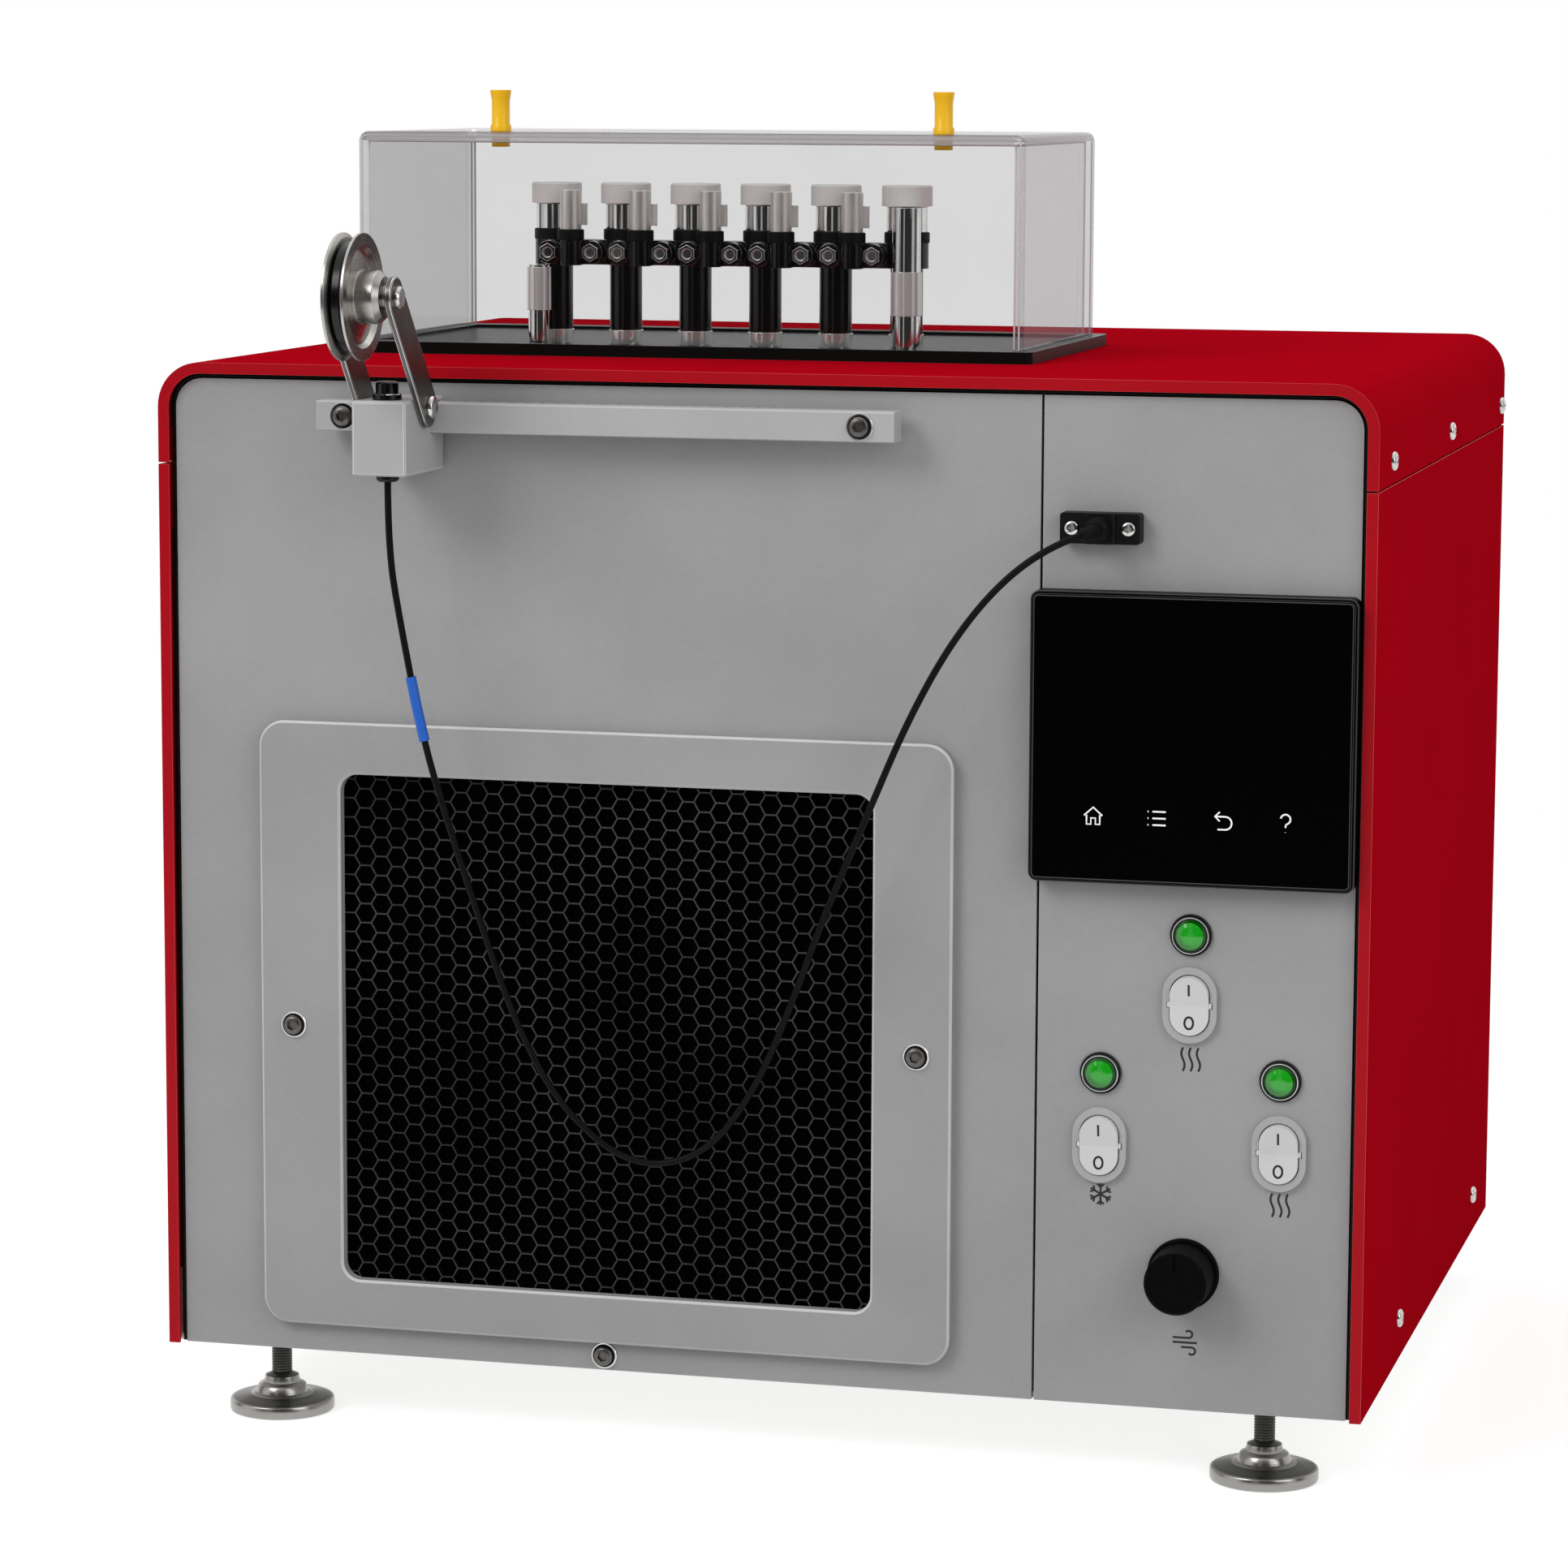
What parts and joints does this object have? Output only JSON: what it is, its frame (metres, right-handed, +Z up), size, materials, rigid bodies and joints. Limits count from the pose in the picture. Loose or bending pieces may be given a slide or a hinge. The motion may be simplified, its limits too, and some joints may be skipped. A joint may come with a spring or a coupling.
{
  "type": "rotational viscometer",
  "caption": "Bench rotational viscometer: red case on levelling feet, grille, touch display, switches, clear cover over a row of cells, and a tilting pulley on a sliding carriage.",
  "frame": {"origin": "on the bench under the middle of the instrument's bounding box, at the underside of the levelling feet", "axes": "+Z up, front panels and pulley towards -Y, control panel towards +X"},
  "size_m": [0.5548, 0.5476, 0.605],
  "materials": {
    "red_paint": "satin red powder coat",
    "grey_paint": "smooth mid-grey paint",
    "light_grey_paint": "smooth light-grey paint",
    "zinc_steel": "zinc-plated steel",
    "bright_screws": "bright plated",
    "dark_screws": "black oxide with bright edges",
    "black_mesh": "black paint",
    "filter_foam": "open-cell black foam",
    "black_plastic": "moulded black plastic",
    "dark_steel": "darkened steel",
    "brushed_steel": "turned and brushed steel",
    "cable_jacket": "black cable jacket",
    "blue_sleeve": "blue marker sleeve",
    "display_glass": "polished black glass",
    "green_lens": "green lamp lens",
    "silver_plastic": "silver-grey moulded plastic",
    "white_plastic": "white moulded plastic",
    "tray_black": "polished black plastic",
    "clear_acrylic": "clear polished acrylic",
    "yellow_plastic": "yellow moulded plastic",
    "chrome_tube": "polished chrome",
    "black_tube": "polished black",
    "boot_rubber": "black rubber",
    "satin_grey": "satin grey anodised",
    "block_aluminium": "machined",
    "jacket_foam": "black insulating foam"
  },
  "bodies": {
    "case": {"top_cover": "red_paint", "left_side_panel": "red_paint", "right_side_panel": "red_paint", "rear_panel": "red_paint", "left_front_panel": "grey_paint", "right_front_panel": "grey_paint", "grille_frame": "grey_paint", "carriage_rail": "light_grey_paint", "base_plate": "zinc_steel", "rail_spacers": "zinc_steel", "case_screws": "bright_screws", "front_screws": "dark_screws", "honeycomb_grille": "black_mesh", "air_filter": "filter_foam", "fan_housing": "black_plastic", "connector_housing": "black_plastic", "display_housing": "black_plastic", "lamp_bezels": "black_plastic", "power_inlet": "black_plastic", "signal_cable": "cable_jacket", "signal_plug": "cable_jacket", "cable_sleeve": "blue_sleeve", "display_glass": "display_glass", "lamp_lenses": "green_lens", "switch_bezels": "silver_plastic", "cell_tray": "tray_black", "cell_base_rings": "chrome_tube", "cell_upper_tubes": "chrome_tube", "guide_tubes": "chrome_tube", "clamp_fittings": "chrome_tube", "cell_lower_tubes": "black_tube", "clamp_bar": "black_tube", "cell_boots": "boot_rubber", "side_tubes": "satin_grey", "cell_block": "block_aluminium", "block_jacket": "jacket_foam"},
    "carriage": {"carriage_block": "light_grey_paint", "pivot_screws": "dark_screws", "rotation_sensor": "dark_steel"},
    "fork": {"left_fork_arm": "dark_steel", "right_fork_arm": "dark_steel", "pulley_axle": "dark_screws"},
    "pulley_wheel": {"pulley": "brushed_steel"},
    "cover": {"clear_cover": "clear_acrylic", "port_tubes": "yellow_plastic"},
    "main_switch": {"main_rocker": "white_plastic"},
    "cooling_switch": {"cooling_rocker": "white_plastic"},
    "heating_switch": {"heating_rocker": "white_plastic"},
    "flow_knob": {"air_flow_knob": "black_plastic"},
    "fan": {"fan_rotor": "black_plastic"},
    "cell_rotor_1": {"rotor_1": "satin_grey"},
    "cell_rotor_2": {"rotor_2": "satin_grey"},
    "cell_rotor_3": {"rotor_3": "satin_grey"},
    "cell_rotor_4": {"rotor_4": "satin_grey"},
    "cell_rotor_5": {"rotor_5": "satin_grey"},
    "cell_rotor_6": {"rotor_6": "satin_grey"},
    "levelling_front_left": {"foot_front_left": "brushed_steel"},
    "levelling_front_right": {"foot_front_right": "brushed_steel"},
    "levelling_rear_left": {"foot_rear_left": "brushed_steel"},
    "levelling_rear_right": {"foot_rear_right": "brushed_steel"}
  },
  "joints": [
    {"name": "carriage_slide", "type": "slide", "parent": "case", "child": "carriage", "axis": [1, 0, 0], "range_m": [-0.008, 0.184]},
    {"name": "fork_tilt", "type": "hinge", "parent": "carriage", "child": "fork", "pos_m": [-0.1532, -0.20223, 0.468], "axis": [1, 0, 0], "range_deg": [-42, 18]},
    {"name": "pulley_spin", "type": "hinge", "parent": "fork", "child": "pulley_wheel", "pos_m": [-0.1532, -0.24627, 0.51743], "axis": [1, 0, 0], "continuous": true},
    {"name": "cover_lift", "type": "slide", "parent": "case", "child": "cover", "axis": [0, 0, 1], "range_m": [0, 0.12]},
    {"name": "main_rock", "type": "hinge", "parent": "case", "child": "main_switch", "pos_m": [0.197, -0.17403, 0.2142], "axis": [-1, 0, 0], "range_deg": [0, 10]},
    {"name": "cooling_rock", "type": "hinge", "parent": "case", "child": "cooling_switch", "pos_m": [0.158, -0.17403, 0.1504], "axis": [-1, 0, 0], "range_deg": [0, 10]},
    {"name": "heating_rock", "type": "hinge", "parent": "case", "child": "heating_switch", "pos_m": [0.237, -0.17403, 0.1509], "axis": [-1, 0, 0], "range_deg": [0, 10]},
    {"name": "air_flow_turn", "type": "hinge", "parent": "case", "child": "flow_knob", "pos_m": [0.1958, -0.17223, 0.0951], "axis": [0, 1, 0], "range_deg": [0, 300]},
    {"name": "fan_spin", "type": "hinge", "parent": "case", "child": "fan", "pos_m": [-0.0665, -0.13623, 0.18525], "axis": [0, 1, 0], "continuous": true},
    {"name": "rotor_1_spin", "type": "hinge", "parent": "case", "child": "cell_rotor_1", "pos_m": [-0.1294, -0.04023, 0.534], "axis": [0, 0, 1], "continuous": true},
    {"name": "rotor_2_spin", "type": "hinge", "parent": "case", "child": "cell_rotor_2", "pos_m": [-0.096, -0.04023, 0.534], "axis": [0, 0, 1], "continuous": true},
    {"name": "rotor_3_spin", "type": "hinge", "parent": "case", "child": "cell_rotor_3", "pos_m": [-0.0626, -0.04023, 0.534], "axis": [0, 0, 1], "continuous": true},
    {"name": "rotor_4_spin", "type": "hinge", "parent": "case", "child": "cell_rotor_4", "pos_m": [-0.0292, -0.04023, 0.534], "axis": [0, 0, 1], "continuous": true},
    {"name": "rotor_5_spin", "type": "hinge", "parent": "case", "child": "cell_rotor_5", "pos_m": [0.0042, -0.04023, 0.534], "axis": [0, 0, 1], "continuous": true},
    {"name": "rotor_6_spin", "type": "hinge", "parent": "case", "child": "cell_rotor_6", "pos_m": [0.0376, -0.04023, 0.534], "axis": [0, 0, 1], "continuous": true},
    {"name": "level_front_left", "type": "slide", "parent": "case", "child": "levelling_front_left", "axis": [0, 0, 1], "range_m": [-0.006, 0.008]},
    {"name": "level_front_right", "type": "slide", "parent": "case", "child": "levelling_front_right", "axis": [0, 0, 1], "range_m": [-0.006, 0.008]},
    {"name": "level_rear_left", "type": "slide", "parent": "case", "child": "levelling_rear_left", "axis": [0, 0, 1], "range_m": [-0.006, 0.008]},
    {"name": "level_rear_right", "type": "slide", "parent": "case", "child": "levelling_rear_right", "axis": [0, 0, 1], "range_m": [-0.006, 0.008]}
  ]
}
